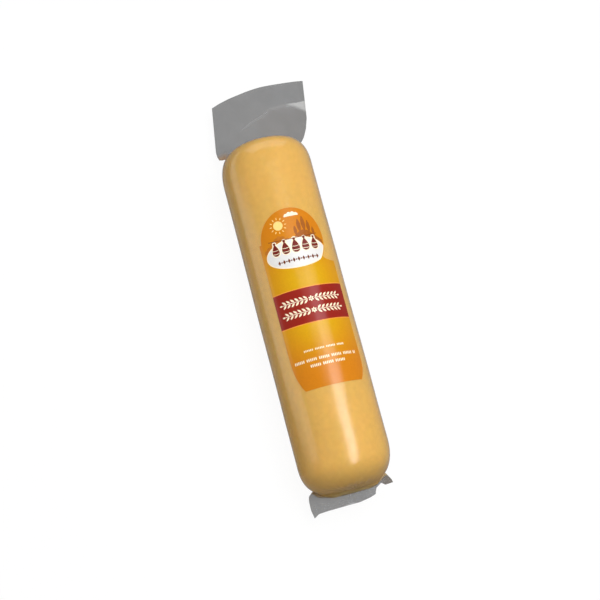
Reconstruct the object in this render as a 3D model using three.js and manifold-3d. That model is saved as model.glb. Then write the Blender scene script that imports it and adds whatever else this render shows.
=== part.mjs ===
// A provolone cheese log, vacuum packed in clear shrink film, with a printed label on its upper side.
// The log lies along X on a small flat spot. The long open tail of the bag is at +X and the short
// sealed skirt at -X. Millimetres, +Z up, with the origin in the middle of the flat spot.
import * as THREE from 'three';
import { mergeVertices } from 'three/addons/utils/BufferGeometryUtils.js';
import Module from 'manifold-3d';

const wasm = await Module();
wasm.setup();

// Driving dimensions of the log. The length is between the rims of its two end faces.
const DIAMETER = 100;
const LENGTH = 383;
const FLAT_SPOT_WIDTH = 24;
const LOG_SIDES = 72;

// The two ends: corner is [along X, across] of a quarter ellipse, dome is how far the middle bulges.
const TOP_END = { corner: [38, 20], dome: 0 };
const BOTTOM_END = { corner: [41, 28], dome: 1.7 };

// The bag's tails are turned a little about the log's axis against the label.
const TAIL_TURN = THREE.MathUtils.degToRad(12.2);
const TAIL_THICKNESS = 1.2;
const ROOT_SWELL_REACH = 13;

// Each tail is a sheet: reach is how far its free edge stands beyond the end of the log, as
// [across, reach], and left and right are its side edges, as [reach, across].
const TOP_TAIL = {
  end: 1,
  rows: 12,
  columns: 24,
  rootDepth: 24,
  rootSwell: 7,
  middleHeight: 0,
  sideDrop: 20,
  lean: 0.17,
  reach: [[-41, 65], [12, 67.5], [65, 68.5]],
  left: [[-24, -40], [-4, -40.5], [-1, -43.5], [3, -46.5], [12, -48.5], [65, -40.6]],
  right: [[-24, 41], [-4, 43], [4, 49], [14, 54], [26, 57.8], [69, 64.6]],
};
const BOTTOM_SKIRT = {
  end: -1,
  rows: 8,
  columns: 30,
  rootDepth: 24,
  rootSwell: 4,
  middleHeight: -12,
  sideDrop: 2,
  lean: 0,
  reach: [
    [-45.2, 19.6], [-39, 16.7], [-30, 16], [5.5, 15.6], [17, 13.9], [23, 12], [25.5, 5.8],
    [32.4, 1.5], [35.1, 5.3], [43.8, 4.5],
  ],
  left: [[-24, -38], [-9, -39.5], [-4, -44.5], [0, -46], [11, -46.8], [20, -45.2]],
  right: [[-24, 37], [-8, 38], [0, 42.6], [4.5, 43.8]],
};

// The label: a round top on a panel whose lower corners taper in. On the left a short step joins
// them, and on the right a hollow curve. Along X it is measured from the log's middle, and across it
// on the film's surface, left being +Y.
const LABEL_GAP = 0.3;
const LABEL_THICKNESS = 0.5;
const LABEL_DISC = { radius: 35.6, along: 68.4, across: -1.9 };
const LABEL_HALF_WIDTH = 41.2;
const LABEL_TAPER = [[-88.9, 29.4], [-84, 32.4], [-76, 35.6], [-63, 39.2], [-42, LABEL_HALF_WIDTH]];
const LABEL_STEP = { along: 72.8, slant: 0.4 };
const LABEL_HOLLOW = { along: 41.8, length: 5.7, width: 14.6 };
const LABEL_COLUMNS = 16;

const RADIUS = DIAMETER / 2;
const AXIS_HEIGHT = Math.sqrt(RADIUS ** 2 - (FLAT_SPOT_WIDTH / 2) ** 2);

// The value at x on a line through [x, y] points, held level beyond its ends.
function along(points, x) {
  if (x <= points[0][0]) return points[0][1];
  for (let i = 1; i < points.length; i += 1) {
    const [x0, y0] = points[i - 1];
    const [x1, y1] = points[i];
    if (x <= x1) return THREE.MathUtils.mapLinear(x, x0, x1, y0, y1);
  }
  return points[points.length - 1][1];
}

// Half of the log's outline, from the middle of one end to the start of its straight side,
// as [radius, distance from the log's middle].
function endOutline({ corner: [cornerLength, cornerDepth], dome }) {
  const steps = 12;
  const domeSteps = 3;
  const capRadius = RADIUS - cornerDepth;
  const capEdge = LENGTH / 2;
  const points = [];
  for (let i = 0; i < domeSteps; i += 1) {
    const share = i / domeSteps;
    points.push([capRadius * share, capEdge + dome * (1 - share ** 2)]);
  }
  for (let i = 0; i <= steps; i += 1) {
    const turn = (Math.PI / 2) * (1 - i / steps);
    const lengthwise = capEdge - cornerLength * (1 - Math.sin(turn));
    points.push([capRadius + cornerDepth * Math.cos(turn), lengthwise]);
  }
  return points;
}

// A geometry without its normals and texture coordinates, so that shared corners are one vertex.
function bare(geometry) {
  geometry.deleteAttribute('normal');
  geometry.deleteAttribute('uv');
  return mergeVertices(geometry, 1e-3);
}

function toSolid(geometry) {
  const vertProperties = new Float32Array(geometry.attributes.position.array);
  const triVerts = new Uint32Array(geometry.index.array);
  return new wasm.Manifold(new wasm.Mesh({ numProp: 3, vertProperties, triVerts }));
}

function fromSolid(solid) {
  const { vertProperties, triVerts } = solid.getMesh();
  const geometry = new THREE.BufferGeometry();
  geometry.setAttribute('position', new THREE.BufferAttribute(vertProperties, 3));
  geometry.setIndex(new THREE.BufferAttribute(triVerts, 1));
  geometry.computeVertexNormals();
  return geometry;
}

// A closed shell between two surfaces, each a grid of rows by columns; upper and lower give the
// point of a row and column, and the upper one faces up where rows run along +X and columns along -Y.
function shell(rows, columns, upper, lower) {
  const positions = [];
  const index = [];
  const count = (rows + 1) * (columns + 1);
  const vertex = (layer, row, column) => layer * count + row * (columns + 1) + column;
  for (const surface of [upper, lower]) {
    for (let row = 0; row <= rows; row += 1) {
      for (let column = 0; column <= columns; column += 1) {
        positions.push(...surface(row, column));
      }
    }
  }
  const quad = (a, b, c, d) => index.push(a, b, c, a, c, d);
  for (let row = 0; row < rows; row += 1) {
    for (let column = 0; column < columns; column += 1) {
      const corners = [[row, column], [row, column + 1], [row + 1, column + 1], [row + 1, column]];
      quad(...corners.map(([r, c]) => vertex(0, r, c)));
      quad(...corners.reverse().map(([r, c]) => vertex(1, r, c)));
    }
  }
  const rim = [];
  for (let column = 0; column < columns; column += 1) rim.push([0, column]);
  for (let row = 0; row < rows; row += 1) rim.push([row, columns]);
  for (let column = columns; column > 0; column -= 1) rim.push([rows, column]);
  for (let row = rows; row > 0; row -= 1) rim.push([row, 0]);
  rim.forEach((here, i) => {
    const next = rim[(i + 1) % rim.length];
    quad(vertex(1, ...here), vertex(1, ...next), vertex(0, ...next), vertex(0, ...here));
  });
  const geometry = new THREE.BufferGeometry();
  geometry.setAttribute('position', new THREE.Float32BufferAttribute(positions, 3));
  geometry.setIndex(index);
  return geometry;
}

function logSolid() {
  const top = endOutline(TOP_END).map(([radius, x]) => new THREE.Vector2(radius, x));
  const bottom = endOutline(BOTTOM_END).map(([radius, x]) => new THREE.Vector2(radius, -x));
  const geometry = new THREE.LatheGeometry([...bottom, ...top.reverse()], LOG_SIDES);
  geometry.rotateZ(-Math.PI / 2);
  geometry.translate(0, 0, AXIS_HEIGHT);
  const floor = new THREE.BoxGeometry(2 * LENGTH, 2 * DIAMETER, DIAMETER);
  floor.translate(0, 0, -DIAMETER / 2);
  return toSolid(bare(geometry)).subtract(toSolid(bare(floor)));
}

// One tail of the bag. Its root is buried in the log, where it is thick like the closing film is,
// and it thins to a flat sheet whose sides droop.
function tailSolid(tail) {
  const middle = (tail.left.at(-1)[1] + tail.right.at(-1)[1]) / 2;
  const halfWidth = (tail.right.at(-1)[1] - tail.left.at(-1)[1]) / 2;
  const edgeStart = tail.reach[0][0];
  const edgeWidth = tail.reach.at(-1)[0] - edgeStart;
  const surface = (side) => (row, column) => {
    const share = column / tail.columns;
    const freeEdge = along(tail.reach, edgeStart + edgeWidth * share);
    const reach = THREE.MathUtils.lerp(-tail.rootDepth, freeEdge, row / tail.rows);
    const left = along(tail.left, reach);
    const right = along(tail.right, reach);
    const across = THREE.MathUtils.lerp(left, right, share);
    const centre = middle - tail.lean * (tail.reach[0][1] - reach);
    const drop = tail.sideDrop * ((across - centre) / halfWidth) ** 2;
    const swell = tail.rootSwell * Math.max(0, 1 - Math.max(0, reach) / ROOT_SWELL_REACH) ** 2;
    const lens = Math.sqrt(Math.max(0, 1 - (2 * share - 1) ** 2));
    const half = (TAIL_THICKNESS + swell * lens) / 2;
    return [tail.end * (LENGTH / 2 + reach), -across, tail.middleHeight - drop + side * half];
  };
  const upper = tail.end;
  const geometry = shell(tail.rows, tail.columns, surface(upper), surface(-upper));
  geometry.rotateX(-TAIL_TURN);
  geometry.translate(0, 0, AXIS_HEIGHT);
  return toSolid(geometry);
}

function wrappedCheese() {
  const solid = logSolid().add(tailSolid(TOP_TAIL)).add(tailSolid(BOTTOM_SKIRT));
  const material = new THREE.MeshStandardMaterial({ color: 0xe2b25e, roughness: 0.35, metalness: 0 });
  const mesh = new THREE.Mesh(fromSolid(solid), material);
  mesh.name = 'wrapped_cheese';
  return mesh;
}

// Half of the disc's width at a place along X.
function discHalfWidth(x) {
  return Math.sqrt(Math.max(0, LABEL_DISC.radius ** 2 - (x - LABEL_DISC.along) ** 2));
}

function labelLeftEdge(x) {
  return x > LABEL_STEP.along ? LABEL_DISC.across - discHalfWidth(x) : -along(LABEL_TAPER, x);
}

function labelRightEdge(x) {
  const hollowTop = LABEL_HOLLOW.along + LABEL_HOLLOW.length;
  if (x >= hollowTop) return LABEL_DISC.across + discHalfWidth(x);
  if (x <= LABEL_HOLLOW.along) return along(LABEL_TAPER, x);
  const share = (hollowTop - x) / LABEL_HOLLOW.length;
  return LABEL_HALF_WIDTH - LABEL_HOLLOW.width * Math.sqrt(1 - share ** 2);
}

// The places along X where the label's outline needs a row of points, from its lower edge up.
function labelStations() {
  const stations = LABEL_TAPER.map(([x]) => x);
  stations.push(-22, 0, 20, LABEL_STEP.along, LABEL_STEP.along + LABEL_STEP.slant);
  const hollowTop = LABEL_HOLLOW.along + LABEL_HOLLOW.length;
  const hollowSteps = 6;
  for (let i = 0; i <= hollowSteps; i += 1) {
    const turn = (Math.PI / 2) * (i / hollowSteps);
    stations.push(hollowTop - LABEL_HOLLOW.length * Math.sin(turn));
  }
  const discSteps = 18;
  const firstTurn = 2.1;
  const lastTurn = 0.12;
  for (let i = 0; i <= discSteps; i += 1) {
    const turn = THREE.MathUtils.lerp(firstTurn, lastTurn, i / discSteps);
    stations.push(LABEL_DISC.along + LABEL_DISC.radius * Math.cos(turn));
  }
  return stations.sort((a, b) => a - b);
}

function label() {
  const stations = labelStations();
  const surface = (radius) => (row, column) => {
    const x = stations[row];
    const share = column / LABEL_COLUMNS;
    const turn = THREE.MathUtils.lerp(labelLeftEdge(x), labelRightEdge(x), share) / RADIUS;
    return [x, -radius * Math.sin(turn), AXIS_HEIGHT + radius * Math.cos(turn)];
  };
  const inner = RADIUS + LABEL_GAP;
  const outer = inner + LABEL_THICKNESS;
  const geometry = shell(stations.length - 1, LABEL_COLUMNS, surface(outer), surface(inner));
  geometry.computeVertexNormals();
  const material = new THREE.MeshStandardMaterial({ color: 0xe3a01e, roughness: 0.4, metalness: 0 });
  const mesh = new THREE.Mesh(geometry, material);
  mesh.name = 'label';
  return mesh;
}

const cheese = new THREE.Group();
cheese.add(wrappedCheese(), label());

export default cheese;
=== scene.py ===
"""The looks of a provolone cheese log in clear shrink film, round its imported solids.

Sizes are millimetres until a mesh is made. X runs along the log towards its long open tail, Z up
through the middle of the label, and Y towards the label's left. "Across" is to the right as the label
is read, and is measured round the film's surface on the label. "Along" is X.
"""
import functools
import math

import bmesh
import bpy
from mathutils import Matrix, Vector, noise
from mathutils.geometry import tessellate_polygon


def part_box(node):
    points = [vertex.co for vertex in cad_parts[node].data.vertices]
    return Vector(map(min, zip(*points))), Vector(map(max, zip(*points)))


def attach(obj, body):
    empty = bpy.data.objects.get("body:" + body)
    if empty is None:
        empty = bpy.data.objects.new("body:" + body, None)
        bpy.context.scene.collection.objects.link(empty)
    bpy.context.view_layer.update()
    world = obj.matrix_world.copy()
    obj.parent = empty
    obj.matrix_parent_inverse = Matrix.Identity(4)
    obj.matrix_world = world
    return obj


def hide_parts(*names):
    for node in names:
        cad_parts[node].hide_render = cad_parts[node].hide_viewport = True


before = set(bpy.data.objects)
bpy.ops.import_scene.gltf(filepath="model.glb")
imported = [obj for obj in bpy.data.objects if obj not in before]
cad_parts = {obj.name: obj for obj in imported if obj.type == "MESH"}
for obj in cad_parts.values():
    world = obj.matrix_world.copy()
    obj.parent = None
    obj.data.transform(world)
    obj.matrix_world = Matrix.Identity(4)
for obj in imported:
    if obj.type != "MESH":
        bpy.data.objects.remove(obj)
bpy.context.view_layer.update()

MM = 0.001
cheese_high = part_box("wrapped_cheese")[1] / MM
RADIUS = cheese_high.y
AXIS_HEIGHT = cheese_high.z - RADIUS

# The log, as its solid has it. Its length is between the rims of its end faces, corner is (along X,
# across) of a quarter ellipse, and dome is how far the middle of an end face bulges. The cheese fills
# its corners a little more, by fullness, and most on one side, by skew: the right at the top end, and
# the left at the bottom end.
LENGTH = 383
TOP_END = {"corner": (38, 20), "dome": 0, "fullness": 1.35, "skew": 0.65}
BOTTOM_END = {"corner": (41, 28), "dome": 1.7, "fullness": 1.75, "skew": 0.95}

# A hump over the corner, c * c * (1 - c) for c from 0 to 1, times this is 1 high at its top.
HUMP_SCALE = 27 / 4

# How finely the log is divided: round it, over a corner, over an end face and along its straight side.
LOG_SIDES = 180
CORNER_STEPS = 30
DOME_STEPS = 12
RING_SPACING = 2.5

# Depths below the solid's surface, and how high the pleats on the end faces stand.
FILM_DEPTH = 0.1
FILM_THICKNESS = 0.1
FILM_PLEATS = 0.7
CHEESE_DEPTH = 0.35
CHEESE_PLEATS = 0.6

# The cheese is a little uneven, and its left flank is flatter, by a soft step over the share of the
# radius out to the left. The film follows it.
BROAD_WAVES = {"height": 0.22, "along": 60, "across": 34}
SMALL_WAVES = {"height": 0.05, "size": 13, "shift": (7, 3, 5)}
FLAT_FLANK = {"depth": 0.5, "step": (0.55, 1)}

# The gathered film's pleats: how near a rim they start, their soft steps by distance from the axis and
# by distance inside the log's radius, their count and sharpness, and how they wander.
CAP_PLEATS = {"start": 6, "middle_step": (3, 12), "edge_step": (12, 22), "count": 26, "sharpness": 3}
CAP_WANDER = {"turn": 7, "size": 2, "length": 20}

# How far inside each rim the film starts to cling to the cheese, and how far inside it clings fully.
CLINGING = {"bottom": (14, 3), "top": (5, 0)}

# The bag's tails, close to their solids. Reach is the distance from the end face's rim, along X. A
# tail's free edge has (across, reach) points, and its two sides have (reach, across) points. Its middle
# line moves sideways by lean, and its sides drop by side_drop.
TAIL_TURN = math.radians(12.2)
TAIL_GAP = 0.5
TAIL_ROWS = 110
ROOT_DEPTH = 24
ROOT_SWELL_REACH = 13
TOP_TAIL = {
    "end": 1, "root_swell": 7, "middle_height": 0, "side_drop": 20, "lean": 0.17, "columns": 96,
    "reach": [
        (-41, 65.3), (-32, 66.1), (-22, 66.3), (-8, 66.2), (4, 66.9), (16, 67.5), (30, 67.2),
        (40, 67.1), (50, 67.6), (59, 68.4), (65, 68.9),
    ],
    "left": [(-24, -40), (1.1, -40.5), (2, -44), (3.6, -47.2), (9, -48.6), (14, -48.6), (65, -40.6)],
    "right": [(-24, 41), (-4, 43.6), (4, 49.7), (14, 54.6), (26, 58.5), (69, 65)],
}
BOTTOM_SKIRT = {
    "end": -1, "root_swell": 4, "middle_height": -12, "side_drop": 2, "lean": 0, "columns": 120,
    "reach": [
        (-45.2, 19.3), (-39, 16.1), (-30, 15.6), (5.5, 15.1), (17, 13.2), (23, 11.3), (25.5, 5.2),
        (32.4, 1.2), (35.1, 4.4), (43.8, 3.9),
    ],
    "left": [(-24, -38), (-9, -39.5), (-4, -45.5), (0, -46.5), (5, -46.8), (11, -46.8), (20, -45.2)],
    "right": [(-24, 37), (-8, 38), (0, 42.6), (4.5, 43.8)],
}

# The long tail's fold, as (across, reach), and the facet beside it, each with a painted highlight.
CREASE = [(-19.5, 23.2), (-4, 29.5), (10.7, 33.5), (21.5, 40.4), (38.7, 42.3), (60.7, 37.5)]
CREASE_WIDTH = 2.6
CREASE_SHINE_WIDTH = 1.5
GLINT_UPPER = [(35, 43), (52, 43.4), (62.6, 45.6)]
GLINT_LOWER = [(35, 42.5), (47, 39), (59.2, 32.5)]
GLINT_UPPER_STEP = (0.8, -0.6)

# Patches of the tails: a strength, and its soft steps over reach and across, each from where nothing of
# it shows to where all does. The facet's reach starts at GLINT_LOWER, and the reach of the painted
# reflection and shade below the fold starts at the fold.
CREASE_RELIEF = (0.7, [], [(-30, -8)])
# Painted highlight along the fold.
CREASE_SHINE = (0.2, [], [(-22, -8), (50, 40)])
# Painted highlight on the facet beside the fold.
FACET = (1, [(-1.5, 4)], [(34, 44)])
# Painted reflection of the cheese, with a little painted shade, below the fold on the tail's right.
TOP_REFLECTION_AND_SHADE = (0.35, [(2, -3)], [(0, 12)])
TOP_ON_CHEESE = (0.5, [(11, 2)], [(-33, -42)])
SKIRT_LIP = (-1.2, [(9, 17)], [(-6, 0), (30, 9)])
# Painted highlight on the skirt's free edge.
SKIRT_GLINT = (0.8, [(13, 15.2)], [(-13, -8), (4, -3)])
# Painted light along the skirt's root, which lightens the shade there.
SKIRT_ROOT_SHINE = (0.13, [(18, 6)], [(33, 28)])
SKIRT_EAR = (1, [], [(29, 34)])

# The long tail's waves are (height, size across, size over reach). They grow away from the root and
# shrink again towards the free edge. Pleats are (height, rate, how far it wanders, over what width).
TOP_FREE_STEP = (0, 40)
TOP_EDGE_STEP = (42, 66)
TOP_EDGE_LOSS = 0.6
TOP_WAVE = (0.8, 9, 30)
TOP_BROAD_WAVE = (1.5, 28, 34)
TOP_NOISE_SLICE = 4
TOP_PLEATS = (0.35, 0.9, 2, 7)
TOP_PLEATS_FADE = 9
SKIRT_PLEATS = (0.07, 0.5, 1.5, 6)

# How far the skirt's film still lies on the cheese, as (across, reach), and how soft that edge is.
SKIRT_ON_CHEESE = [
    (-41, -6), (-36.5, -0.8), (-32, 0.7), (-27, 1.9), (-21, 3.9), (0, 4.4), (12, 4), (21, 3.7),
    (27, 2.1), (32, -1.4), (37, -5),
]
SKIRT_ON_CHEESE_STEP = (0.9, -0.9)

# The ridge of cheese there, which thins out towards its sides and round the log's corner.
DRAWN_OUT = {"start": 16, "sides": (26, 38), "half_height": 6}

# The label's outline, close to its solid's. Its two sides are (along, distance from its middle line).
DISC_MIDDLE = (-1.9, 68.4)
DISC_RADIUS = 35.6
DISC_STEPS = 90
LABEL_LEFT = [(-88.9, 30.6), (-85, 32.9), (-77, 36.2), (-69, 38.4), (-58, 39.6), (-42, 39.9)]
LABEL_RIGHT = [(-88.9, 34.5), (-85, 37.5), (-77, 41.6), (-69, 43), (-55, 43), (-30, 42.6)]
LABEL_STEP = {"along": 72.8, "slant": 0.4}
LABEL_HOLLOW = {"along": 41.8, "length": 5.7, "width": 16, "steps": 12}

# The label's paper, from its depth below the log's surface, and the height of a printed layer. Print
# starts a share of its height above the paper, so that no two faces coincide.
LABEL_DEPTH = 0.15
LABEL_PAPER = 0.3
PRINT_LAYER = 0.03
PRINT_LIFT = 0.05
CUT_SPACING = 1.5
CUT_MERGE = 1e-4
SHARP_ANGLE = math.radians(40)

# The label's dark band, the rows of laurel on it, and the rows of small marks below it.
BAND = {"low": -20.8, "high": 16.1, "line": 0.9, "side_gap": 0.05, "rows": (3.6, -8.8)}
LAUREL = {
    "start": 3.4, "end": 31, "pitch": 4.3, "stem": 0.6, "first_pair": 0.15,
    "leaf": (5.2, 2), "leaf_turn": 0.72, "leaf_gap": 0.55, "tip": (3.6, 1.8), "tip_gap": 0.1,
}
FLOWER = {"petals": 6, "petal": (2.6, 1.5, 5), "gap": 0.5}
LOWER_ROWS = (
    {"middle": -49, "height": 2.4, "half_width": 22, "pitch": 1.7},
    {"middle": -59, "height": 3.4, "half_width": 35, "pitch": 1.9},
    {"middle": -65.4, "height": 3.4, "half_width": 19, "pitch": 1.9},
)
MARK = {"width_share": 0.34, "steps": 10, "in_a_row": 6}
LEAF_ROUNDNESS = 0.8

# The label's picture, with (across, along) places. Hills are (height, middle, width), trees are
# (across, height, width), and the sun's rays are leaves of (length, width, steps).
PICTURE_INSET = 1.5
HILLS = {"foot": 61, "side_inset": 2.2, "steps": 200}
SHALLOWEST_FIELD = 0.05
FAR_HILL = (13.5, -16, 14)
NEAR_HILL = (16.5, 11, 17)
BUSHES = {"height": 1.9, "width": 4.8, "roundness": 0.6}
TREES = [(2.5, 11, 3.4), (7.3, 15, 4.2), (12.6, 17, 4.6), (17.8, 14, 4), (22.4, 10, 3.4)]
TREE_FOOT_DEPTH = 1.4
TREE_STEPS = 12
SUN = {"middle": (-14, 87), "radius": 5, "steps": 48, "rays": 12, "ray": (2.9, 1.1, 4), "ray_start": 6.3}
CLOUD = {"middle": (2, 94.5), "half_width": 8, "height": 4.8, "puff": 4.4, "puff_share": 0.28, "steps": 80}

# The plaque over it. Heights are from its middle, and a bow is how much a line rises per square mm.
PLAQUE = {"middle": (-1.5, 54.8), "semi_axes": (33.6, 16.2), "rim": 1.1, "disc_gap": 0.8, "steps": 120}
CHEESES = {"each_side": 2, "pitch": 10.7, "height": 7.2, "size": 1.06, "size_loss": 0.05}
TIES = {"heights": (-4.2, -0.4), "bow": 0.04, "thickness": 0.55, "half_width": 3.4, "steps": 8}
CORD = {"height": 15.6, "bow": 0.0028, "thickness": 0.6, "half_width": 27, "steps": 40}
LOZENGES = {"each_side": 4, "pitch": 5.2, "height": -7.2, "half_size": (1.5, 2.5)}
DOTS = {"radius": 0.8, "steps": 14}

# Half of a hanging cheese and of the pale rim round it, as (half width, height) points going up.
HUNG_CHEESE = [
    (0, -6.6), (1.6, -6.35), (2.9, -5.5), (3.7, -4.2), (4, -2.7), (3.9, -1.1), (3.5, 0.5), (2.85, 2.1),
    (2.1, 3.6), (1.35, 4.9), (0.85, 5.8), (0.8, 6.3), (1.3, 6.8), (1.55, 7.4), (1.3, 8.1), (0.7, 8.5),
    (0, 8.6),
]
HUNG_CHEESE_HALO = [
    (0, -7.6), (1.95, -7.3), (3.6, -6.2), (4.65, -4.6), (5, -2.7), (4.9, -0.9), (4.4, 1), (3.7, 2.8),
    (2.9, 4.5), (2.3, 6), (2.5, 7.4), (2, 8.8), (1.1, 9.45), (0, 9.6),
]

# Colours, as the linear numbers that shaders take, and where the cheese's change along X.
CHEESE_COLOURS = {
    "deep": (0.69, 0.405, 0.087),
    "pale": (0.725, 0.413, 0.091),
    # Painted shade: the bottom end darker and browner, where it turns away from the light.
    "shaded_end": (0.46, 0.265, 0.055),
    # Painted shade on the ridge where the skirt leaves the cheese: darker, and greyed as under the film.
    "ridge": (0.43, 0.31, 0.125),
}
# Where the painted shade of the bottom end, and of the ridge there, comes in along X.
SHADED_END_ALONG = (-195, -164)
RIDGE_ALONG = (-196, -191)
# The film's colour, lighter and warmer than its own grey as a painted reflection, shows where it is seen
# edge on.
FILM_COLOUR = (0.5, 0.475, 0.44)
TAIL_COLOURS = {
    "clear": (0.160, 0.160, 0.161),
    # Below the long tail's fold: a painted reflection of the cheese, a little darker as painted shade.
    "warm": (0.145, 0.12, 0.1),
    "folded": (0.1, 0.075, 0.051),
    # Where the skirt lies on the bottom end: the cheese's colour with that end's painted shade.
    "on_bottom_end": (0.36, 0.245, 0.1),
    "on_top_end": (0.7, 0.34, 0.07),
    # The colour of the painted highlights and painted light.
    "shining": (0.45, 0.45, 0.445),
}
BETWEEN_TAILS = (-150, 150)
LABEL_COLOURS = {"orange": (0.612, 0.2, 0.006), "yellow": (0.65, 0.355, 0.004)}
LABEL_YELLOW = {"middle": 5, "along_fall": (22, 80), "across_fall": (10, 34), "share_at_sides": 0.58}

# How the film hides what is behind it: least where it faces the eye, most where it is seen edge on,
# and less where it clings.
FILM_ALPHA = {"least": 0.015, "power": 6, "most": 0.68, "less": 0.62}
TAIL_ALPHA = {"low": 0.59, "high": 0.61}
# The film hides more where highlights are painted, where it lies on the cheese and where it is folded.
TAIL_MORE_ALPHA = {"shine": 0.12, "over_cheese": 0.35, "folded": 0.1}
# Painted shade: the tails' film darker towards their right side, over a span of Y, down to a brightness.
TAIL_RIGHT_SHADE = {"y_span": (-30, 25), "brightness": 0.76}

# The lights: angles are degrees to the right of straight up, distances are from the log's axis.
KEY = {"x": 100, "angle": 8.5, "distance": 1800, "size": (1500, 1000), "energy": 39.5}
WORLD_STRENGTH = 0.19

# The floor, a gap below the log, and the dome round it, which looks as pale.
FLOOR = {"gap": 0.3, "reach": 6000, "paint": 0.05, "glow": 0.95}
DOME = {"radius": 5800, "segments": (64, 32), "paint": 0, "glow": 1}

# Cards that only show as reflections. The first lies and then stands on the log's left, as
# (Y, Z, share of its glow) points, with a glow at places along X. The second stands past the long tail.
SIDE_CARD = {
    "profile": [(65, 0, 0.26), (130, 0, 0.1), (174, 0, 0.04), (175, 0, 1), (1200, 0, 1), (1200, 430, 1)],
    "glow": [(-170, 0), (-20, 1.38), (480, 1.38)],
}
END_CARD = {"x": 900, "sides": (-700, 500), "heights": (150, 700), "glow": 1.75}

# The soft card over the log, as (X, angle of its left side, angle of its right side, glow).
TOP_CARD = [
    (-800, 6.5, 25.5, 0), (-620, 6.5, 25.5, 7.5), (-150, 4.5, 25, 7.8), (0, 4.8, 27.5, 7.4),
    (30, 5.5, 32, 6.8), (90, 9, 37, 5.1), (140, 9.5, 36.5, 3.4), (190, 11, 36.5, 2.3),
    (270, 16.5, 40.5, 2.1), (330, 18, 41, 0),
]
TOP_CARD_DISTANCE = 1000
TOP_CARD_SOFT_EDGE = 4
TOP_CARD_COLOUR = (0.8, 0.88, 1)

# The camera, as the photograph was taken: off straight above by tilt towards the bottom end and by side
# to the left. Its clip distances are metres.
CAMERA_TARGET = (15.5, 1.03, 48.3)
CAMERA_DISTANCE = 1571.7
CAMERA_TILT = math.radians(12.32)
CAMERA_SIDE = math.radians(12.2)
CAMERA_ROLL = math.radians(-15.03)
CAMERA_LENS = 88.45
CAMERA_SENSOR = 36
CAMERA_CLIP = (0.05, 50)


def srgb(red, green, blue):
    """A colour of 0 to 255 as the linear numbers that shaders take, by the sRGB standard's curve."""
    return tuple(
        (value / 255 / 12.92) if value <= 10 else ((value / 255 + 0.055) / 1.055) ** 2.4
        for value in (red, green, blue)
    )


def along(points, x):
    """The value at x on a line through (x, y) points, held level beyond its ends."""
    if x <= points[0][0]:
        return points[0][1]
    for (x0, y0), (x1, y1) in zip(points, points[1:]):
        if x <= x1:
            return y0 + (y1 - y0) * (x - x0) / (x1 - x0)
    return points[-1][1]


def smooth(none, full, value):
    """0 at none and before it, and 1 at full and past it, with a soft step between."""
    share = min(1, max(0, (value - none) / (full - none)))
    return share * share * (3 - 2 * share)


def bell(away, half_width):
    """1 at no distance away, thinning out to 0 on both sides."""
    return math.exp(-((away / half_width) ** 2))


# The label's inks, as (colour, how uneven it is, slot).
INKS = {
    "cream": (srgb(248, 236, 205), 0.03, "label_cream"),
    "white": ((0.75, 0.74, 0.725), 0.012, "label_cream"),
    "red": ((0.285, 0.016, 0.008), 0.03, "label_red"),
    "dark_red": ((0.17, 0.02, 0.014), 0.03, "label_red"),
    "line": (srgb(236, 150, 60), 0.03, "label_orange"),
    "brown": (srgb(186, 112, 34), 0.08, "label_orange"),
    "dark_brown": (srgb(160, 90, 28), 0.08, "label_orange"),
    "bark": (srgb(112, 58, 34), 0.08, "label_orange"),
    "pale": (srgb(244, 214, 132), 0.03, "label_cream"),
}


# --- Materials ---


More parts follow.
